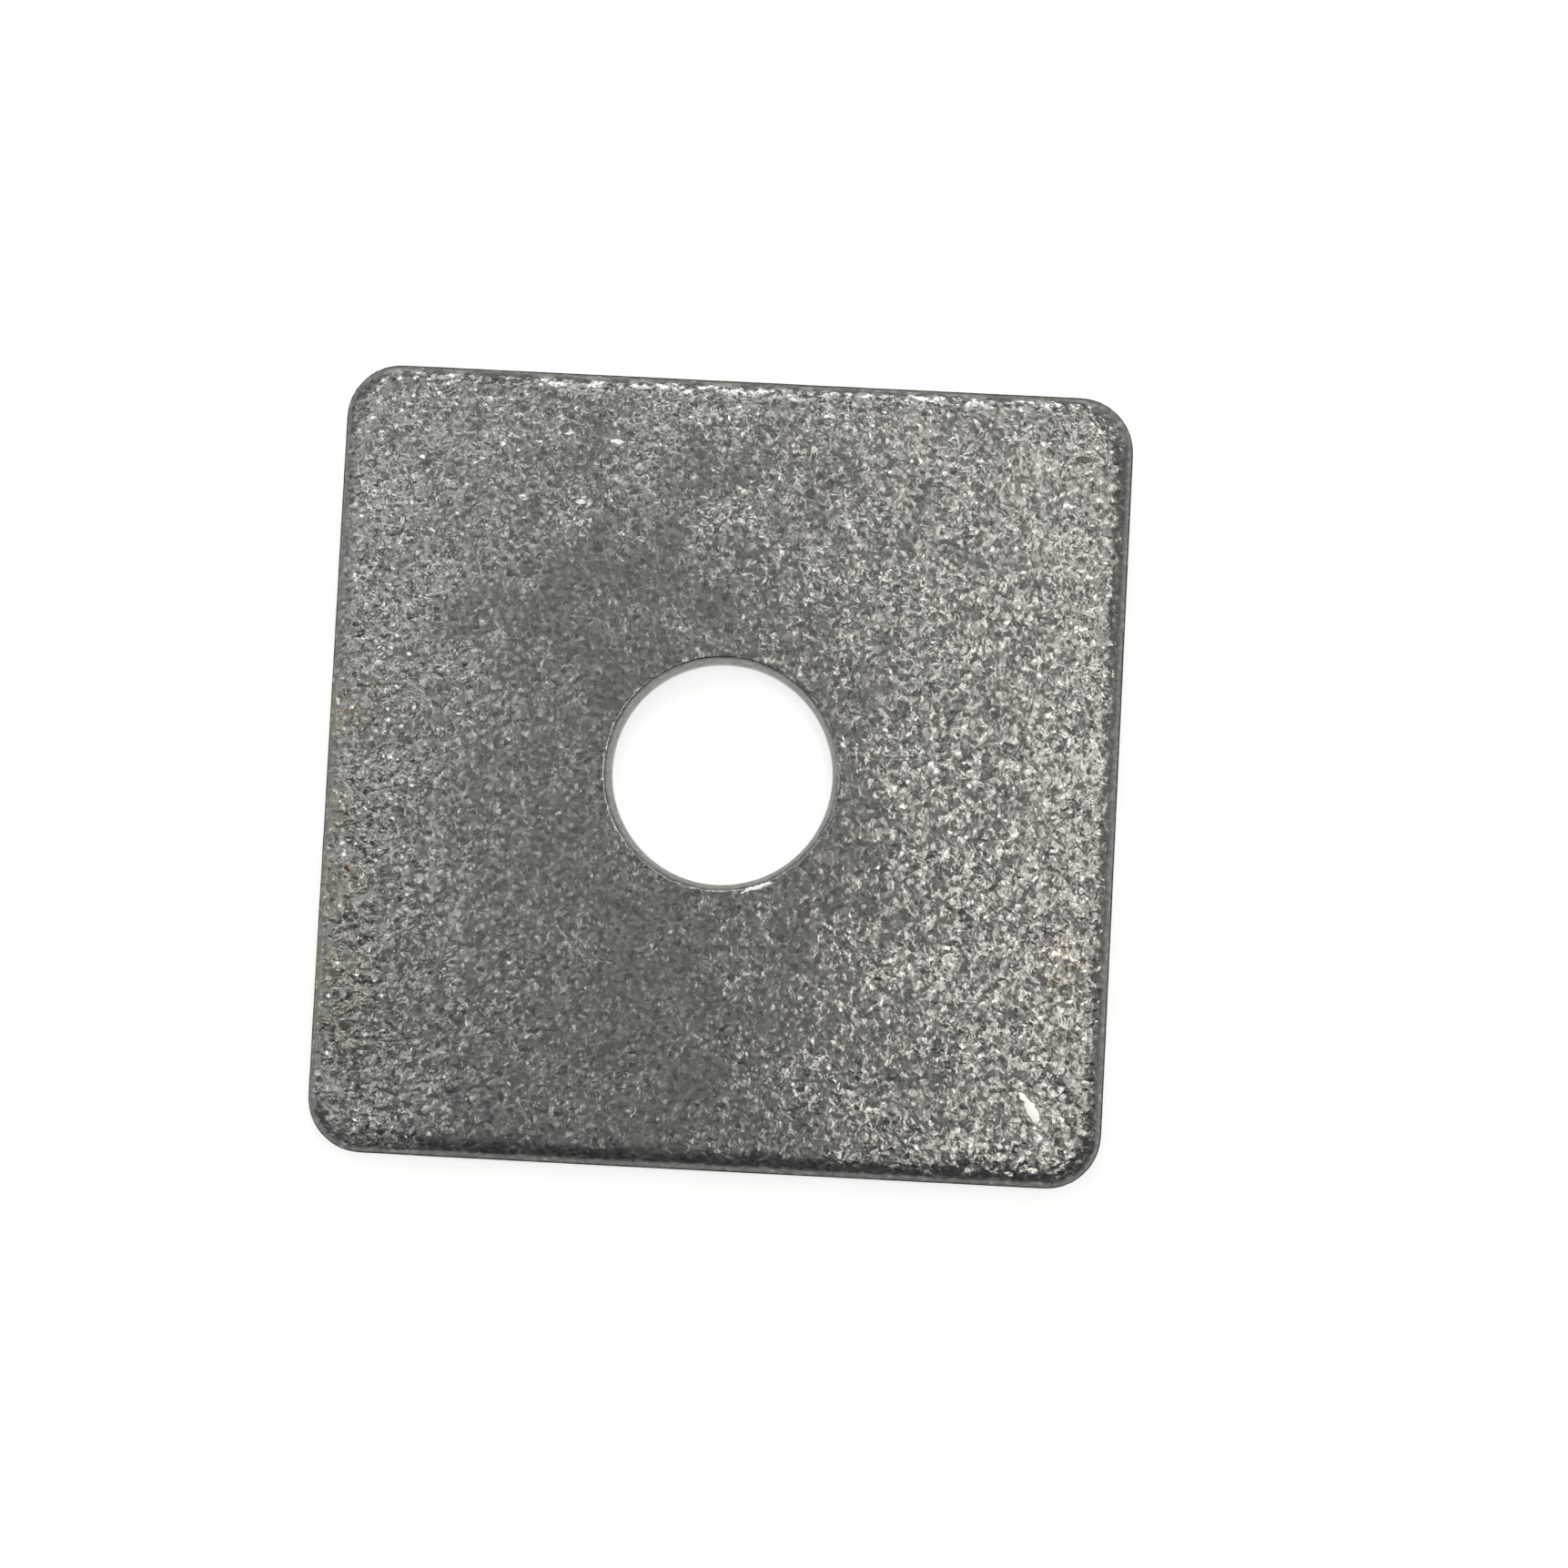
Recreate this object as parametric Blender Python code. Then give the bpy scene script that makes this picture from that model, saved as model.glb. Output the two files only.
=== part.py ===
# Square plate washer for an M12 bolt: 50 x 50 x 3 mm with a 14 mm hole.
# One piece of steel plate, blanked and pierced in a press, tumbled and zinc coated.
# Frame: metres, +Z up, origin on the hole's axis in the plane of the underside.

import math

import bmesh
import bpy

MM = 0.001

# Plate
SIDE = 50.0 * MM  # across the flats, at the burnished land
THICKNESS = 3.0 * MM
CORNER_RADIUS = 3.4 * MM
HOLE_DIAMETER = 14.0 * MM  # at the burnished land, clear of an M12 bolt

# Blanked outer edge, from the upper face down
OUTER_ROLL_WIDTH = 1.6 * MM  # how far in the plate was drawn down before it sheared
OUTER_ROLL_DEPTH = 0.8 * MM
OUTER_FRACTURE_HEIGHT = 1.1 * MM  # torn band, from the underside up to the burnished land
OUTER_FRACTURE_TAPER = 0.18 * MM  # the torn band leans in by the die clearance
OUTER_BURR_ROUND = 0.25 * MM  # the burr, worn to this radius by tumbling

# Pierced hole, from the underside up. A follow-on die rolls the hole's rim over on one face and
# the outline on the other, so the hole's burr is on the upper face.
HOLE_ROLL_WIDTH = 0.9 * MM
HOLE_ROLL_DEPTH = 0.3 * MM
HOLE_FRACTURE_HEIGHT = 1.3 * MM  # torn band, from the upper face down to the burnished land
HOLE_FRACTURE_TAPER = 0.15 * MM  # the hole opens out above its land
HOLE_BURR_ROUND = 0.15 * MM

# Fineness of the round stretches
CORNER_STEPS = 12
HOLE_STEPS = 96
ROLL_STEPS = 8
BURR_STEPS = 3

# Dull zinc over steel
ZINC_COLOUR = (0.30, 0.30, 0.285, 1.0)
ZINC_METALLIC = 0.9
ZINC_ROUGHNESS = 0.5
SMOOTH_ANGLE = math.radians(40)


def punched_section(roll_width, roll_depth, fracture_height, fracture_taper, burr_round):
    """Section of a punched edge as (distance from the land into the metal, depth below the rolled
    face), from the rolled face to the burr."""
    section = []
    for step in range(ROLL_STEPS + 1):
        turn = 0.5 * math.pi * step / ROLL_STEPS
        section.append((roll_width * (1 - math.sin(turn)), roll_depth * (1 - math.cos(turn))))
    section.append((0.0, THICKNESS - fracture_height))
    for step in range(BURR_STEPS + 1):
        turn = 0.5 * math.pi * step / BURR_STEPS
        section.append(
            (
                fracture_taper + burr_round * (1 - math.cos(turn)),
                THICKNESS - burr_round * (1 - math.sin(turn)),
            )
        )
    return section


def rounded_square(inset, height):
    """Points round the plate at one height. The corner radius stays the same as the outline
    moves in, so the roll is widest round the corners, where a press draws the plate down most."""
    arc_centre = SIDE / 2 - inset - CORNER_RADIUS
    points = []
    for corner, (sign_x, sign_y) in enumerate(((1, 1), (-1, 1), (-1, -1), (1, -1))):
        for step in range(CORNER_STEPS + 1):
            turn = 0.5 * math.pi * (corner + step / CORNER_STEPS)
            points.append(
                (
                    sign_x * arc_centre + CORNER_RADIUS * math.cos(turn),
                    sign_y * arc_centre + CORNER_RADIUS * math.sin(turn),
                    height,
                )
            )
    return points


def ring_of_edges(mesh, points):
    """A closed ring of edges through the points."""
    corners = [mesh.verts.new(point) for point in points]
    return [
        mesh.edges.new((corner, corners[(index + 1) % len(corners)]))
        for index, corner in enumerate(corners)
    ]


def loft_outer_edge(mesh):
    """The outer edge's skin, lofted through one outline for each point of its section.
    Returns its top and bottom rings of edges."""
    section = punched_section(
        OUTER_ROLL_WIDTH,
        OUTER_ROLL_DEPTH,
        OUTER_FRACTURE_HEIGHT,
        OUTER_FRACTURE_TAPER,
        OUTER_BURR_ROUND,
    )
    rings = [
        ring_of_edges(mesh, rounded_square(inset, THICKNESS - depth)) for inset, depth in section
    ]
    for upper, lower in zip(rings, rings[1:]):
        bmesh.ops.bridge_loops(mesh, edges=upper + lower)
    return rings[0], rings[-1]


def turn_hole(mesh):
    """The hole's wall, turned from its section about the Z axis, rolled over at the underside.
    Returns its top and bottom rings of edges."""
    section = punched_section(
        HOLE_ROLL_WIDTH,
        HOLE_ROLL_DEPTH,
        HOLE_FRACTURE_HEIGHT,
        HOLE_FRACTURE_TAPER,
        HOLE_BURR_ROUND,
    )
    corners = [
        mesh.verts.new((HOLE_DIAMETER / 2 + offset, 0.0, depth)) for offset, depth in section
    ]
    profile = [mesh.edges.new(pair) for pair in zip(corners, corners[1:])]
    before = set(mesh.edges) - set(profile)
    bmesh.ops.spin(
        mesh,
        geom=corners + profile,
        cent=(0, 0, 0),
        axis=(0, 0, 1),
        angle=2 * math.pi,
        steps=HOLE_STEPS,
        use_merge=True,
    )
    open_edges = [edge for edge in mesh.edges if edge not in before and edge.is_boundary]
    middle = THICKNESS / 2
    top = [edge for edge in open_edges if edge.verts[0].co.z > middle]
    bottom = [edge for edge in open_edges if edge.verts[0].co.z < middle]
    return top, bottom


def close_face(mesh, outer_ring, hole_ring, facing):
    """One flat bearing face, between the plate's outline and the hole."""
    bmesh.ops.triangle_fill(
        mesh, use_beauty=True, edges=outer_ring + hole_ring, normal=(0, 0, facing)
    )


def zinc():
    material = bpy.data.materials.new("dull_zinc")
    material.use_nodes = True
    shader = material.node_tree.nodes["Principled BSDF"]
    shader.inputs["Base Color"].default_value = ZINC_COLOUR
    shader.inputs["Metallic"].default_value = ZINC_METALLIC
    shader.inputs["Roughness"].default_value = ZINC_ROUGHNESS
    return material


def plate_washer():
    mesh = bmesh.new()
    outer_top, outer_bottom = loft_outer_edge(mesh)
    hole_top, hole_bottom = turn_hole(mesh)
    close_face(mesh, outer_top, hole_top, 1)
    close_face(mesh, outer_bottom, hole_bottom, -1)
    bmesh.ops.recalc_face_normals(mesh, faces=mesh.faces)
    data = bpy.data.meshes.new("plate_washer")
    mesh.to_mesh(data)
    mesh.free()
    data.materials.append(zinc())
    data.shade_smooth()
    data.set_sharp_from_angle(angle=SMOOTH_ANGLE)
    washer = bpy.data.objects.new("plate_washer", data)
    bpy.context.scene.collection.objects.link(washer)
    return washer


for leftover in list(bpy.data.objects):
    bpy.data.objects.remove(leftover, do_unlink=True)
plate_washer()
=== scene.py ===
import math

import bpy
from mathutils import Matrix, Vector, noise


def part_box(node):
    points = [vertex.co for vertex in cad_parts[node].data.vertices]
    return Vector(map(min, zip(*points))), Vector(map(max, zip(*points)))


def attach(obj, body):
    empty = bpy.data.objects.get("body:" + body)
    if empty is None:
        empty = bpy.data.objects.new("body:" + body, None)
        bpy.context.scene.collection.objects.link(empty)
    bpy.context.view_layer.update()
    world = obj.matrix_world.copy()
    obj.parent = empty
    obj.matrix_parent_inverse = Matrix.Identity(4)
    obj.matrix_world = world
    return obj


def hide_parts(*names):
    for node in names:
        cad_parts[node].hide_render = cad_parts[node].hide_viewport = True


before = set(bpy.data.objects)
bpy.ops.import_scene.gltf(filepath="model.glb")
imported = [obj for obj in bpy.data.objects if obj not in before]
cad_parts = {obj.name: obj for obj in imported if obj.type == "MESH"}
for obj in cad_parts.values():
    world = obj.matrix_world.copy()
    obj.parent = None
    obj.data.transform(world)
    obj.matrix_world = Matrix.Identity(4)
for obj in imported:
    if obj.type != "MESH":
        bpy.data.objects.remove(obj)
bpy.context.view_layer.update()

mm = 0.001
plateLow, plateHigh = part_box("plate_washer")
faceHeight = plateHigh.z  # the upper face, 3 mm above the floor


def linearColour(hexColour):
    # sRGB hex to the linear values that the shader wants
    channels = [int(hexColour[i:i + 2], 16) / 255 for i in (1, 3, 5)]
    linear = [c / 12.92 if c <= 0.04045 else ((c + 0.055) / 1.055) ** 2.4 for c in channels]
    return (*linear, 1.0)


def addNode(tree, kind, settings, inputs):
    # one node with its settings, and its sockets set or linked; a node stands for its first output
    node = tree.nodes.new(kind)
    for name, value in settings.items():
        setattr(node, name, value)
    for socket, value in inputs.items():
        if isinstance(value, bpy.types.Node):
            value = value.outputs[0]
        if isinstance(value, bpy.types.NodeSocket):
            tree.links.new(value, node.inputs[socket])
        else:
            node.inputs[socket].default_value = value
    return node


def chain(tree, operation, values):
    # all the values brought into one, through a row of math nodes
    total = values[0]
    for value in values[1:]:
        total = addNode(tree, "ShaderNodeMath", {"operation": operation}, {0: total, 1: value})
    return total


def deselectAll():
    if bpy.context.object and bpy.context.object.mode != "OBJECT":
        bpy.ops.object.mode_set(mode="OBJECT")
    bpy.ops.object.select_all(action="DESELECT")


def applyModifier(piece, kind, settings):
    # adds one modifier and applies it at once
    bpy.context.view_layer.objects.active = piece
    bpy.ops.object.modifier_add(type=kind)
    modifier = piece.modifiers[-1]
    for name, value in settings.items():
        setattr(modifier, name, value)
    bpy.ops.object.modifier_apply(modifier=modifier.name)


# The washer: blanked and pierced from 3 mm steel plate, tumbled, zinc coated

washer = {
    "cornerRadius": 3.4 * mm,
    "holeRadius": 7.0 * mm,
    "outerRoll": (1.6 * mm, 0.8 * mm),  # width and depth of the rolled-over upper edge
    "outerTorn": (1.1 * mm, 0.18 * mm),  # height and lean of the torn band under the land
    "outerBurr": 0.25 * mm,
    "holeRoll": (0.9 * mm, 0.3 * mm),  # the hole's roll is at the underside
    "holeTorn": (1.3 * mm, 0.15 * mm),  # and its torn band at the upper face
    "holeBurr": 0.15 * mm,
    "cornerSteps": 12,
    "holeSteps": 96,
    "rollSteps": 8,
    "burrSteps": 3,
    "voxel": 0.25 * mm,
    "cutterReach": 1.0 * mm,  # how far the hole's cutter stands out of both faces
}


def punchedLevels(roll, torn, burr):
    # (distance from the land, height) from the burr up to the rolled face
    levels = []
    for step in range(washer["burrSteps"] + 1):
        angle = math.pi / 2 * step / washer["burrSteps"]
        levels.append((torn[1] + burr * (1 - math.sin(angle)), burr * (1 - math.cos(angle))))
    levels.append((0.0, torn[0]))
    for step in range(washer["rollSteps"] + 1):
        angle = math.pi / 2 * step / washer["rollSteps"]
        levels.append((roll[0] * (1 - math.cos(angle)), faceHeight - roll[1] * (1 - math.sin(angle))))
    return levels


def raiseOutline(levels, reach, grow):
    # extrudes the selected outline up through the levels, sizing it at each one
    distance, height = levels[0]
    size = reach + grow * distance
    for distance, nextHeight in levels[1:]:
        bpy.ops.mesh.extrude_region_move(TRANSFORM_OT_translate={"value": (0, 0, nextHeight - height)})
        nextSize = reach + grow * distance
        factor = nextSize / size
        bpy.ops.transform.resize(value=(factor, factor, 1), center_override=(0, 0, nextHeight))
        size, height = nextSize, nextHeight
    bpy.ops.mesh.select_all(action="SELECT")
    bpy.ops.mesh.normals_make_consistent(inside=False)


def makeBlank():
    levels = punchedLevels(washer["outerRoll"], washer["outerTorn"], washer["outerBurr"])
    halfSide = plateHigh.x
    deselectAll()
    bpy.ops.mesh.primitive_plane_add(size=2 * (halfSide - levels[0][0]), location=(0, 0, 0))
    blank = bpy.context.object
    blank.name = "washer_plate"
    bpy.ops.object.mode_set(mode="EDIT")
    bpy.ops.mesh.bevel(affect="VERTICES", offset=washer["cornerRadius"], segments=washer["cornerSteps"])
    raiseOutline(levels, halfSide, -1)
    bpy.ops.object.mode_set(mode="OBJECT")
    return blank


def makePunch():
    # the shape that leaves the pierced hole, rolled face down, longer than the plate is thick
    levels = punchedLevels(washer["holeRoll"], washer["holeTorn"], washer["holeBurr"])
    levels = [(distance, faceHeight - height) for distance, height in reversed(levels)]
    bottom = (levels[0][0], -washer["cutterReach"])
    top = (levels[-1][0], faceHeight + washer["cutterReach"])
    levels = [bottom, *levels, top]
    deselectAll()
    bpy.ops.mesh.primitive_circle_add(
        vertices=washer["holeSteps"], radius=washer["holeRadius"] + bottom[0],
        fill_type="NGON", location=(0, 0, bottom[1]))
    punch = bpy.context.object
    bpy.ops.object.transform_apply(location=True, rotation=True, scale=True)
    bpy.ops.object.mode_set(mode="EDIT")
    bpy.ops.mesh.select_all(action="SELECT")
    raiseOutline(levels, washer["holeRadius"], 1)
    bpy.ops.object.mode_set(mode="OBJECT")
    return punch


def makeWasher():
    plate = makeBlank()
    punch = makePunch()
    deselectAll()
    plate.select_set(True)
    applyModifier(plate, "BOOLEAN", {"operation": "DIFFERENCE", "object": punch, "solver": "EXACT"})
    bpy.data.objects.remove(punch, do_unlink=True)
    applyModifier(plate, "REMESH", {"mode": "VOXEL", "voxel_size": washer["voxel"], "use_smooth_shade": True})
    print("washer: even skin of", len(plate.data.polygons), "faces")
    return plate


# Where the skin differs: walls, painted shade on the hole's rim and along the roll, a painted sheen, painted
# light on the hole's wall, calm and coarse coat, tarnish

skinAreas = {
    "wallSlope": (0.85, 0.45),  # upright share of the normal where a wall begins, and where it is all wall
    "rollSlope": (0.97, 0.82),  # the same for the smooth skin, which was stretched over the roll
    "rollRelief": 0.35,  # the roll and the walls carry this share of the relief
    "holeRim": (7.3 * mm, 7.9 * mm),  # painted shade up to the first radius, none from the second
    "holeRimShade": 0.3,
    "holeWallLight": 0.12,  # share of painted light on the hole's wall, which lies in shade
    "holeReach": 9.0 * mm,  # skin nearer to the axis belongs to the hole
    "tornHeight": 1.2 * mm,
    "tornEdge": 0.1 * mm,
    "tornWander": 0.35 * mm,  # how far the torn band's limit goes up and down
    "tornWaves": (600, 600, 0),  # per metre, so that limit has a wave every 1.7 mm
    "calmCentre": (-5 * mm, -8 * mm),
    "calmReach": (12 * mm, 20 * mm),
    "calmEdge": (0.85, 1.45),  # in calm reaches, from all calm to all coarse
    "calmWander": 0.45,
    "calmRelief": 0.58,  # share of the relief left in the calm area
    "leftBand": (3.5 * mm, 7.5 * mm, 0.6),  # coarser along the left edge: from, to and by how much
    "topBand": (1.6 * mm, 4.0 * mm, 0.25),
    "coarseWander": 2 * mm,  # how far the limits of these two go in and out
    "wanderSize": 6.0 * mm,
    # bands of painted shade along the roll: side, from, to and by how much
    "shadeBands": (
        ((1, 0), 0.9 * mm, 1.7 * mm, 0.45),
        ((0, 1), 0.75 * mm, 1.7 * mm, 0.45),
        ((0, 1), -0.3 * mm, 0.25 * mm, 0.8),
        ((-1, 0), 0.1 * mm, 0.8 * mm, 0.35),
        ((0, -1), -0.3 * mm, 0.25 * mm, 1.0),
    ),
    "sheenBand": ((0, 1), 0.4 * mm, 0.85 * mm, 1.0),  # a painted sheen along the top side's roll: side, from, to and by how much
    "bandEdge": 0.2 * mm,
    # x, y and reach of each tarnished spot
    "tarnish": (
        (22.4 * mm, -11.0 * mm, 3.2 * mm),
        (-23.6 * mm, 2.6 * mm, 2.8 * mm),
        (-24.0 * mm, -3.0 * mm, 2.4 * mm),
        (-23.8 * mm, -8.0 * mm, 2.8 * mm),
        (-23.4 * mm, -13.0 * mm, 3.0 * mm),
        (-23.2 * mm, -17.0 * mm, 2.6 * mm),
    ),
    "tarnishEdge": (0.2, 1.0),  # in reaches, from full tarnish to none
    "tarnishWander": 0.6,  # in reaches
    "tarnishSize": 1.6 * mm,
}


def between(value, start, end):
    share = min(max((value - start) / (end - start), 0), 1)
    return share * share * (3 - 2 * share)


def outlineAt(place):
    # how far in from the plate's outline, and which way is out
    radius = washer["cornerRadius"]
    x, y = (abs(along) - plateHigh.x + radius for along in (place.x, place.y))
    if x > 0 and y > 0:
        out = Vector((x, y)).normalized()
        inward = radius - math.hypot(x, y)
    else:
        out = Vector((1, 0)) if x > y else Vector((0, 1))
        inward = radius - max(x, y)
    return inward, Vector((math.copysign(out.x, place.x), math.copysign(out.y, place.y)))


def bandAt(place, side, start, end, share):
    # share inside a band that follows one side of the upper face
    if place.z < faceHeight / 2:
        return 0
    inward, out = outlineAt(place)
    edge = skinAreas["bandEdge"]
    inside = between(inward, start - edge, start + edge) * (1 - between(inward, end - edge, end + edge))
    return share * inside * max(out.dot(Vector(side)), 0) ** 2


def coarseAt(place, roll):
    # share of the relief: least in the calm area and on the roll, most along the left edge
    wander = noise.noise(place / skinAreas["wanderSize"])
    x, y = skinAreas["calmCentre"]
    wide, deep = skinAreas["calmReach"]
    away = math.hypot((place.x - x) / wide, (place.y - y) / deep)
    rough = between(away + skinAreas["calmWander"] * wander, *skinAreas["calmEdge"])
    coarse = skinAreas["calmRelief"] + (1 - skinAreas["calmRelief"]) * rough
    for name, inward in (("leftBand", place.x - plateLow.x), ("topBand", plateHigh.y - place.y)):
        start, end, more = skinAreas[name]
        coarse += more * (1 - between(inward + skinAreas["coarseWander"] * wander, start, end))
    return coarse * (1 - roll * (1 - skinAreas["rollRelief"]))


def tarnishAt(place):
    # the nearest spot's tarnish, with a patchy outline
    patchy = skinAreas["tarnishWander"] * noise.noise(place / skinAreas["tarnishSize"])
    tarnish = 0
    for x, y, reach in skinAreas["tarnish"]:
        away = math.hypot(place.x - x, place.y - y) / reach + patchy
        tarnish = max(tarnish, 1 - between(away, *skinAreas["tarnishEdge"]))
    return tarnish


def skinAt(place, upright):
    # how far one place of the skin is wall, and how far it is darker steel or painted shade, under painted
    # light or sheen, torn, coarse and tarnished
    wall = between(upright, *skinAreas["wallSlope"])
    roll = between(upright, *skinAreas["rollSlope"])
    fromAxis = math.hypot(place.x, place.y)
    inHole = fromAxis < skinAreas["holeReach"]
    fromBurr = faceHeight - place.z if inHole else place.z
    waves = noise.noise(place * Vector(skinAreas["tornWaves"]))
    tornEnd = skinAreas["tornHeight"] + skinAreas["tornWander"] * waves
    tornEdge = skinAreas["tornEdge"]
    rim = 1 - between(fromAxis, *skinAreas["holeRim"])
    # outer walls are darker sheared steel, partly painted shade, and the hole's rim gets painted shade
    steelAndShade = max(0 if inHole else wall, rim * (1 - wall) * skinAreas["holeRimShade"])
    return {
        "wall": wall,
        # painted shade in bands along the roll is added to the darker steel
        "steelAndShade": max(steelAndShade, *(bandAt(place, *band) for band in skinAreas["shadeBands"])),
        # painted light on the hole's wall
        "wallLight": wall * skinAreas["holeWallLight"] if inHole else 0,
        "torn": wall * (1 - between(fromBurr, tornEnd - tornEdge, tornEnd + tornEdge)),
        "coarse": coarseAt(place, roll),
        "tarnish": tarnishAt(place),
        # a painted sheen along the top roll
        "paintedSheen": bandAt(place, *skinAreas["sheenBand"]),
    }


def markSkin(plate):
    # the shares become attributes for the coat, and two of them vertex groups for the relief
    skin = [skinAt(vertex.co, abs(vertex.normal.z)) for vertex in plate.data.vertices]
    for name in skin[0]:
        shares = [there[name] for there in skin]
        plate.data.attributes.new(name, "FLOAT", "POINT").data.foreach_set("value", shares)
    for name in ("coarse", "torn"):
        group = plate.vertex_groups.new(name=name + " relief")
        for index, there in enumerate(skin):
            group.add([index], min(there[name], 1), "REPLACE")
    print("washer: skin marked")


# Relief of the coat, from long waves down to the grain that a face can carry, and the tears in the walls

relief = {
    "waves": {"size": 9.0 * mm, "height": 0.03 * mm, "where": "coarse relief"},
    "lumps": {"size": 1.8 * mm, "height": 0.025 * mm, "where": "coarse relief"},
    "pebbles": {"size": 0.9 * mm, "height": 0.03 * mm, "where": "coarse relief"},
    "tears": {"size": 0.8 * mm, "height": 0.12 * mm, "where": "torn relief"},
}


def addRelief(plate):
    # every layer only sinks in, so that the plate stays inside its own box
    for name, layer in relief.items():
        texture = bpy.data.textures.new(name, "CLOUDS")
        texture.noise_basis = "IMPROVED_PERLIN"
        texture.noise_depth = 0
        texture.noise_scale = layer["size"]
        applyModifier(plate, "DISPLACE", {
            "texture": texture, "texture_coords": "LOCAL", "direction": "NORMAL",
            "strength": layer["height"], "mid_level": 1.0, "vertex_group": layer["where"]})
    print("washer: coat relief in", len(relief), "layers")


# Zinc coat on mild steel, tumbled: dull mid grey flakes a third of a millimetre wide, each with its own lean

zinc = {
    "colour": "#8d8c88",
    "steelAndShadeColour": "#605f5a",  # the sheared steel of the outer walls, partly painted shade there, and painted shade on the hole's rim and along the roll
    "tarnishColour": "#8c857a",  # brown flecks where the zinc is thin
    "freshAndGlintColour": "#f8f6f0",  # where the metal is laid bare, and the colour of painted glints, sheen and light
    "pitColour": "#62615b",
    "edgeTint": "#dcdcdc",  # a zinc coat stays as dull when seen at a slant
    "steelAndShadeTint": "#808080",  # and more so on the darker steel and the painted shade
    "metallic": 1.0,
    "roughness": (0.25, 0.31),  # from the glossiest flake to the dullest
    "tornRoughness": 0.55,
    "bareRoughness": 0.42,  # in a scrape
    "stretch": (0.9, 1.06, 1.0),  # the grain is drawn out a little along X
    # sizes in mm; limits are the two values of a pattern where its effect begins and is full
    "warp": {"size": 0.6, "detail": 2.0, "reach": 0.35},  # how the flakes' outlines wander
    "flakes": {"size": 0.33, "limits": (0, 1), "tone": 0.1, "lean": 0.22 * mm},  # lean: rise over 1 mm
    "tarnishFlecks": {"limits": (0.4, 0.75)},
    "specks": {"size": 0.35, "detail": 2.0, "limits": (0.3, 0.7), "tone": 0.2},
    "paleAndGlintSpecks": {"limits": (0.58, 0.7), "tone": 0.2},  # the highest specks are pale: partly rubbed zinc, partly painted glints
    "paintedGlints": {"from": 0.955, "limits": (0.42, 0.3), "tone": 0.45},  # painted glints: a bright middle in 1 flake of 22
    # streaks in the painted sheen on the top roll
    "sheenStreaks": {"size": (1.5, 0.5, 0.5), "detail": 2.0, "limits": (0.53, 0.6), "tone": 0.85},
    "grain": {"size": 0.42, "detail": 1.5, "height": 0.068 * mm},
    # where the grain is calmer or stronger
    "patches": {"size": 3.5, "detail": 2.0, "limits": (0.35, 0.65), "strength": (0.6, 1.25)},
    "scores": {"size": (0.15, 0.15, 3.0), "detail": 1.0, "height": 0.012 * mm},  # upright, on the walls
    "knocks": {"limits": (1.1, 0.85), "ragged": 0.3, "depth": 0.06 * mm},  # ragged by the specks
}

# knocks in the upper face: place and half sizes in mm, heading in degrees, and what they lay bare; the burr's
# mark is a painted glint
knocks = {
    "gouge": {"place": (20.5, -20.1), "half": (0.85, 0.36), "heading": -58, "colour": "freshAndGlintColour"},
    "gougeTail": {"place": (19.95, -19.35), "half": (0.5, 0.2), "heading": -50, "colour": "freshAndGlintColour"},
    "dash": {"place": (-7.66, 20.66), "half": (0.5, 0.17), "heading": -4, "colour": "freshAndGlintColour"},
    "shortDash": {"place": (-9.77, 16.71), "half": (0.35, 0.15), "heading": 8, "colour": "freshAndGlintColour"},
    "pit": {"place": (4.7, 17.96), "half": (0.3, 0.25), "heading": 0, "colour": "pitColour"},
    "slot": {"place": (21.78, 20.92), "half": (0.45, 0.2), "heading": -8, "colour": "pitColour"},
    # a painted glint along the hole's rim, laid in as a knock
    "burr": {"place": (2.65, -7.02), "half": (1.1, 0.14), "heading": 21, "colour": "freshAndGlintColour"},
}


def coatPatterns(tree):
    # coordinates in mm, plain and warped, and the patterns that colour, gloss and relief share
    place = addNode(tree, "ShaderNodeTexCoord", {}, {})
    inMm = addNode(tree, "ShaderNodeMapping", {}, {
        "Vector": place.outputs["Object"], "Scale": (1 / mm, 1 / mm, 1 / mm)})
    warp = addNode(tree, "ShaderNodeTexNoise", {}, {
        "Vector": inMm, "Scale": 1 / zinc["warp"]["size"], "Detail": zinc["warp"]["detail"]})
    drawn = addNode(tree, "ShaderNodeMapping", {}, {"Vector": inMm, "Scale": zinc["stretch"]})
    moved = addNode(tree, "ShaderNodeVectorMath", {"operation": "MULTIPLY_ADD"}, {
        0: warp.outputs["Color"], 1: (zinc["warp"]["reach"],) * 3, 2: drawn})
    flakes = addNode(tree, "ShaderNodeTexVoronoi", {}, {
        "Vector": moved, "Scale": 1 / zinc["flakes"]["size"]})
    specks = addNode(tree, "ShaderNodeTexNoise", {}, {
        "Vector": moved, "Scale": 1 / zinc["specks"]["size"], "Detail": zinc["specks"]["detail"]})
    chance = addNode(tree, "ShaderNodeTexWhiteNoise", {}, {"Vector": flakes.outputs["Position"]})
    dice = addNode(tree, "ShaderNodeSeparateXYZ", {}, {0: chance.outputs["Color"]})  # three for each flake
    return {"inMm": inMm, "moved": moved, "flakes": flakes, "specks": specks, "dice": dice}


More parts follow.
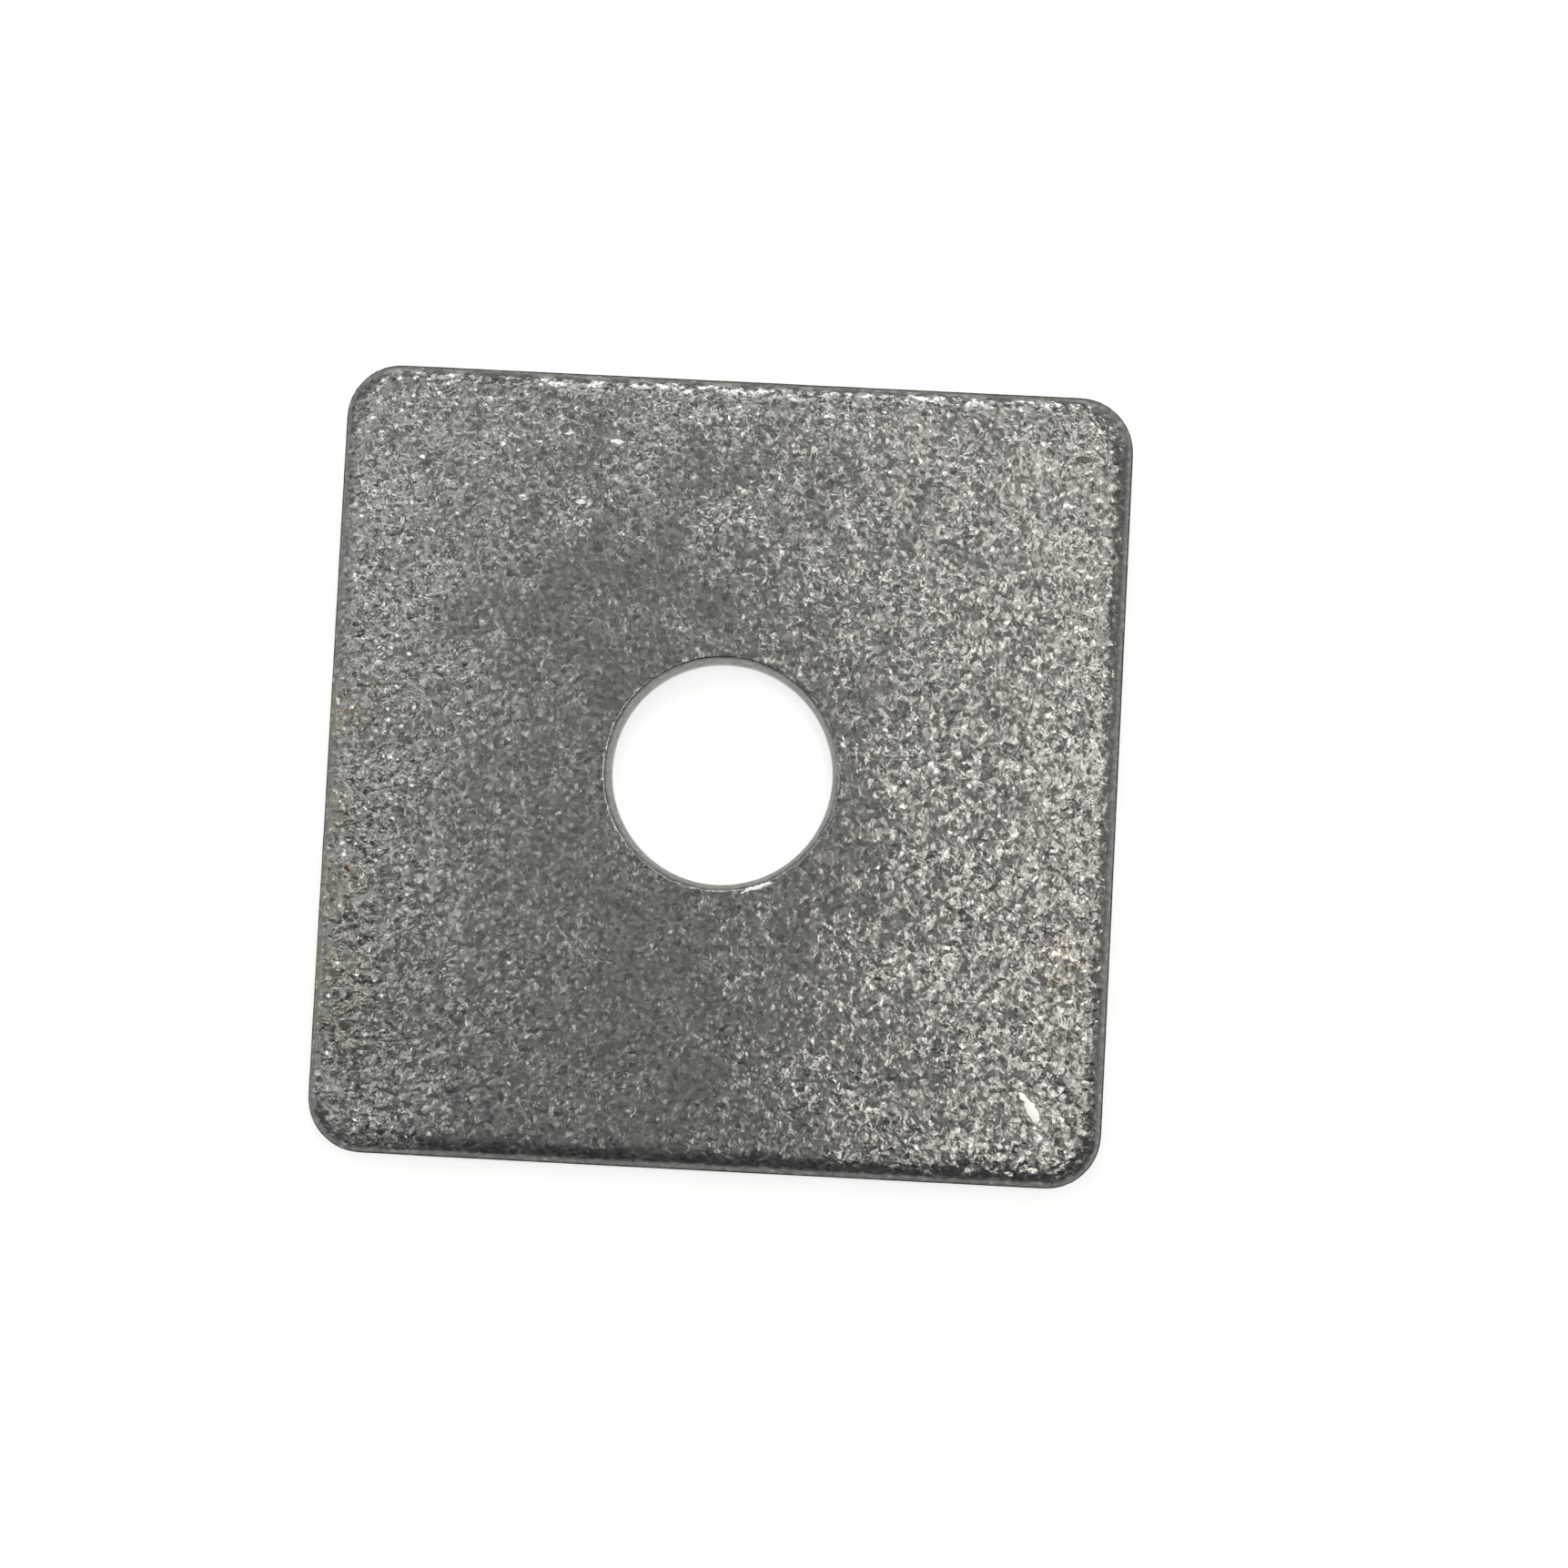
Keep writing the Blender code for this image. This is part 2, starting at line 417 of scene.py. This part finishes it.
def knockShares(tree, coat):
    # one share for each knock, 1 inside its ragged oval
    ragged = zinc["knocks"]["ragged"]
    begins, full = zinc["knocks"]["limits"]
    pushed = addNode(tree, "ShaderNodeVectorMath", {"operation": "MULTIPLY_ADD"}, {
        0: coat["specks"].outputs["Color"], 1: (ragged,) * 3, 2: coat["inMm"]})
    shares = {}
    for name, knock in knocks.items():
        x, y = knock["place"]
        near = addNode(tree, "ShaderNodeMapping", {"vector_type": "TEXTURE"}, {
            "Vector": pushed, "Location": (x + ragged / 2, y + ragged / 2, faceHeight / mm),
            "Rotation": (0, 0, math.radians(knock["heading"])), "Scale": (*knock["half"], 1)})
        far = addNode(tree, "ShaderNodeVectorMath", {"operation": "LENGTH"}, {0: near})
        shares[name] = addNode(tree, "ShaderNodeMapRange", {}, {
            "Value": far.outputs["Value"], "From Min": begins, "From Max": full,
            "To Min": 0.0, "To Max": 1.0})
    return shares


def paleShare(tree, coat, skin):
    # pale specks with painted glints in the grain, a painted sheen on the top roll, and painted light on the
    # hole's wall
    stretched = addNode(tree, "ShaderNodeMapping", {}, {
        "Vector": coat["inMm"], "Scale": [1 / size for size in zinc["sheenStreaks"]["size"]]})
    sheenStreaks = addNode(tree, "ShaderNodeTexNoise", {}, {
        "Vector": stretched, "Scale": 1.0, "Detail": zinc["sheenStreaks"]["detail"]})
    sources = {
        "paleAndGlintSpecks": coat["specks"].outputs["Fac"],
        "paintedGlints": coat["flakes"].outputs["Distance"],
        "sheenStreaks": sheenStreaks.outputs["Fac"],
    }
    shares = {}
    for name, source in sources.items():
        begins, full = zinc[name]["limits"]
        shares[name] = addNode(tree, "ShaderNodeMapRange", {}, {
            "Value": source, "From Min": begins, "From Max": full,
            "To Min": 0.0, "To Max": zinc[name]["tone"]})
    picked = addNode(tree, "ShaderNodeMath", {"operation": "GREATER_THAN"}, {
        0: coat["dice"].outputs["Z"], 1: zinc["paintedGlints"]["from"]})
    paintedGlints = chain(tree, "MULTIPLY", [picked, shares["paintedGlints"]])
    grain = chain(tree, "MAXIMUM", [shares["paleAndGlintSpecks"], paintedGlints])
    # pale specks and painted glints grow with the coarse share, strongest along the left and top edges,
    # weakest in the calm area
    return chain(tree, "MAXIMUM", [
        chain(tree, "MULTIPLY", [grain, skin["coarse"]]),
        chain(tree, "MULTIPLY", [shares["sheenStreaks"], skin["paintedSheen"]]),
        skin["wallLight"]])


def layColours(tree, colour, layers):
    # covers the colour with each layer's own one, by its share
    for share, name in layers:
        mixed = addNode(tree, "ShaderNodeMix", {"data_type": "RGBA"}, {
            0: share, 6: colour, 7: linearColour(zinc[name])})
        colour = mixed.outputs[2]
    return colour


def coatColour(tree, coat, skin, shares):
    # darker steel and painted shade, tarnish, fresh metal with painted glints, sheen and light, then the tone
    # of each speck and flake, and the knocks
    begins, full = zinc["tarnishFlecks"]["limits"]
    flecks = addNode(tree, "ShaderNodeMapRange", {}, {
        "Value": coat["dice"].outputs["Y"], "From Min": begins, "From Max": full,
        "To Min": 0.0, "To Max": 1.0})
    tarnished = chain(tree, "MULTIPLY", [skin["tarnish"], flecks])
    colour = layColours(tree, linearColour(zinc["colour"]), [
        (skin["steelAndShade"], "steelAndShadeColour"),
        (tarnished, "tarnishColour"),
        (paleShare(tree, coat, skin), "freshAndGlintColour")])
    tones = []
    for name, source in (("specks", coat["specks"].outputs["Fac"]), ("flakes", coat["dice"].outputs["Z"])):
        begins, full = zinc[name]["limits"]
        tones.append(addNode(tree, "ShaderNodeMapRange", {}, {
            "Value": source, "From Min": begins, "From Max": full,
            "To Min": 1 - zinc[name]["tone"], "To Max": 1 + zinc[name]["tone"]}))
    colour = addNode(tree, "ShaderNodeVectorMath", {"operation": "SCALE"}, {
        0: colour, "Scale": chain(tree, "MULTIPLY", tones)})
    return layColours(tree, colour, [(share, knocks[name]["colour"]) for name, share in shares.items()])


def coatNormal(tree, coat, skin, knocked):
    # leaning flakes under a fine grain, stronger in patches and coarse areas, score lines, and knocks
    grain = addNode(tree, "ShaderNodeTexNoise", {}, {
        "Vector": coat["moved"], "Scale": 1 / zinc["grain"]["size"], "Detail": zinc["grain"]["detail"]})
    # a flake's colour, less its middle value, is the way that it leans
    lean = addNode(tree, "ShaderNodeVectorMath", {"operation": "SUBTRACT"}, {
        0: coat["flakes"].outputs["Color"], 1: (0.5, 0.5, 0.5)})
    arm = addNode(tree, "ShaderNodeVectorMath", {"operation": "SUBTRACT"}, {
        0: coat["moved"], 1: coat["flakes"].outputs["Position"]})
    rise = addNode(tree, "ShaderNodeVectorMath", {"operation": "DOT_PRODUCT"}, {0: lean, 1: arm})
    patches = addNode(tree, "ShaderNodeTexNoise", {}, {
        "Vector": coat["inMm"], "Scale": 1 / zinc["patches"]["size"], "Detail": zinc["patches"]["detail"]})
    low, high = zinc["patches"]["limits"]
    weak, strong = zinc["patches"]["strength"]
    patch = addNode(tree, "ShaderNodeMapRange", {}, {
        "Value": patches.outputs["Fac"], "From Min": low, "From Max": high, "To Min": weak, "To Max": strong})
    whole = addNode(tree, "ShaderNodeMath", {"operation": "SUBTRACT"}, {0: 1.0, 1: knocked})
    strength = chain(tree, "MULTIPLY", [patch, skin["coarse"], whole])
    flakeBump = addNode(tree, "ShaderNodeBump", {}, {
        "Height": rise.outputs["Value"],
        "Distance": chain(tree, "MULTIPLY", [strength, zinc["flakes"]["lean"]])})
    grainBump = addNode(tree, "ShaderNodeBump", {}, {
        "Height": grain.outputs["Fac"], "Normal": flakeBump,
        "Distance": chain(tree, "MULTIPLY", [strength, zinc["grain"]["height"]])})
    upright = addNode(tree, "ShaderNodeMapping", {}, {
        "Vector": coat["inMm"], "Scale": [1 / size for size in zinc["scores"]["size"]]})
    scores = addNode(tree, "ShaderNodeTexNoise", {}, {
        "Vector": upright, "Scale": 1.0, "Detail": zinc["scores"]["detail"]})
    scoreBump = addNode(tree, "ShaderNodeBump", {}, {
        "Height": scores.outputs["Fac"], "Normal": grainBump,
        "Distance": chain(tree, "MULTIPLY", [skin["wall"], zinc["scores"]["height"]])})
    return addNode(tree, "ShaderNodeBump", {"invert": True}, {
        "Height": knocked, "Normal": scoreBump, "Distance": zinc["knocks"]["depth"]})


def zincCoat():
    material = bpy.data.materials.new("zinc_coated_steel")
    material.use_nodes = True
    tree = material.node_tree
    tree.nodes.clear()
    coat = coatPatterns(tree)
    skin = {}
    for name in ("wall", "steelAndShade", "wallLight", "torn", "coarse", "tarnish", "paintedSheen"):
        skin[name] = addNode(tree, "ShaderNodeAttribute", {"attribute_name": name}, {}).outputs["Fac"]
    shares = knockShares(tree, coat)
    knocked = chain(tree, "MAXIMUM", list(shares.values()))
    glossy, dull = zinc["roughness"]
    roughness = addNode(tree, "ShaderNodeMapRange", {}, {
        "Value": coat["dice"].outputs["X"], "To Min": glossy, "To Max": dull})
    for share, rougher in ((skin["torn"], "tornRoughness"), (knocked, "bareRoughness")):
        roughness = addNode(tree, "ShaderNodeMapRange", {}, {
            "Value": share, "To Min": roughness, "To Max": zinc[rougher]})
    shader = addNode(tree, "ShaderNodeBsdfPrincipled", {}, {
        "Base Color": coatColour(tree, coat, skin, shares),
        "Metallic": zinc["metallic"],
        "Roughness": roughness,
        "Specular Tint": layColours(tree, linearColour(zinc["edgeTint"]), [(skin["steelAndShade"], "steelAndShadeTint")]),
        "Normal": coatNormal(tree, coat, skin, knocked)})
    addNode(tree, "ShaderNodeOutputMaterial", {}, {"Surface": shader})
    print("washer: zinc coat of", len(tree.nodes), "nodes")
    return material


# Pale floor, soft lamps, a pale room and the camera

stage = {
    "floorSide": 3.0,
    "floorColour": "#e4e4e2",
    "floorGlow": 0.6,  # what the floor adds for the camera, glossy and clear rays, to read as white
    "glowColour": "#ffffff",
    "worldColour": "#ffffff",
    "horizonStrength": 0.74,  # pale walls of the room, up to the first height
    "zenithStrength": 0.04,  # from the second height up
    "horizonHeights": (0.26, 0.64),  # sines of the angles above the floor
    "cameraPlace": (7.32 * mm, -8.83 * mm, 201.35 * mm),
    "cameraTurn": (2.46, 0.84, 2.93),  # degrees: nearly straight down, the plate a little turned in the view
    "lens": 72.5,
    "clipStart": 10 * mm,
    "lampDistance": 350 * mm,
    "lampTint": "#fdffff",
    "keyTint": "#fffcf8",
    # soft boxes round the camera: heading from +X, off the vertical and width in degrees, then brightness
    "lamps": {
        "key": (0, 20, 13, 6.89),
        "keyUpper": (45, 20, 13, 3.42),
        "keyLower": (315, 20, 13, 3.4),
        "lampLeft": (180, 20, 13, 3.61),
        "lampRight": (0, 36, 19, 0.39),
        "lampTop": (90, 36, 19, 4.66),
        "lampTopLeft": (135, 36, 19, 2.69),
        "lampLeftMiddle": (180, 36, 19, 0.77),
        "lampBottomLeftMiddle": (225, 36, 19, 0.47),
        "lampRightLow": (0, 56, 24, 0.34),
        "lampTopRightLow": (45, 56, 24, 0.61),
        "lampLeftLow": (180, 56, 24, 1.31),
    },
}


def makeFloor():
    deselectAll()
    bpy.ops.mesh.primitive_plane_add(size=stage["floorSide"], location=(0, 0, 0))
    floor = bpy.context.object
    floor.name = "floor"
    material = bpy.data.materials.new("pale_board")
    material.use_nodes = True
    tree = material.node_tree
    tree.nodes.clear()
    path = addNode(tree, "ShaderNodeLightPath", {}, {})
    rays = ("Is Camera Ray", "Is Glossy Ray", "Is Transmission Ray")
    seen = chain(tree, "MAXIMUM", [path.outputs[ray] for ray in rays])
    board = addNode(tree, "ShaderNodeBsdfDiffuse", {}, {"Color": linearColour(stage["floorColour"])})
    white = addNode(tree, "ShaderNodeEmission", {}, {
        "Color": linearColour(stage["glowColour"]),
        "Strength": chain(tree, "MULTIPLY", [seen, stage["floorGlow"]])})
    both = addNode(tree, "ShaderNodeAddShader", {}, {0: board, 1: white})
    addNode(tree, "ShaderNodeOutputMaterial", {}, {"Surface": both})
    floor.data.materials.append(material)


def makeLamps():
    reach = stage["lampDistance"]
    for name, (heading, tilt, wide, brightness) in stage["lamps"].items():
        heading, tilt = math.radians(heading), math.radians(tilt)
        out = math.sin(tilt)
        place = Vector((out * math.cos(heading), out * math.sin(heading), math.cos(tilt))) * reach
        deselectAll()
        bpy.ops.object.light_add(type="AREA", location=place)
        lamp = bpy.context.object
        lamp.name = name
        lamp.data.size = 2 * reach * math.tan(math.radians(wide / 2))
        lamp.data.energy = brightness * math.pi * lamp.data.size ** 2
        lamp.data.color = linearColour(stage["keyTint" if name.startswith("key") else "lampTint"])[:3]
        lamp.visible_camera = False
        lamp.rotation_euler = (-place).to_track_quat("-Z", "Y").to_euler()


def makeWorld():
    world = bpy.data.worlds.new("studio")
    world.use_nodes = True
    tree = world.node_tree
    background = tree.nodes["Background"]
    background.inputs["Color"].default_value = linearColour(stage["worldColour"])
    towards = addNode(tree, "ShaderNodeTexCoord", {}, {})
    height = addNode(tree, "ShaderNodeSeparateXYZ", {}, {0: towards.outputs["Generated"]})
    low, high = stage["horizonHeights"]
    strength = addNode(tree, "ShaderNodeMapRange", {"interpolation_type": "SMOOTHSTEP"}, {
        "Value": height.outputs["Z"], "From Min": low, "From Max": high,
        "To Min": stage["horizonStrength"], "To Max": stage["zenithStrength"]})
    tree.links.new(strength.outputs[0], background.inputs["Strength"])
    bpy.context.scene.world = world


def makeCamera():
    deselectAll()
    turn = [math.radians(angle) for angle in stage["cameraTurn"]]
    bpy.ops.object.camera_add(location=stage["cameraPlace"], rotation=turn)
    camera = bpy.context.object
    camera.data.lens = stage["lens"]
    camera.data.clip_start = stage["clipStart"]
    bpy.context.scene.camera = camera


plate = makeWasher()
markSkin(plate)
addRelief(plate)
plate.data.materials.clear()
plate.data.materials.append(zincCoat())
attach(plate, "root")
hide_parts("plate_washer")

makeFloor()
makeLamps()
makeWorld()
makeCamera()
bpy.context.scene.view_settings.view_transform = "Standard"
print("stage: floor, lamps, room and camera")
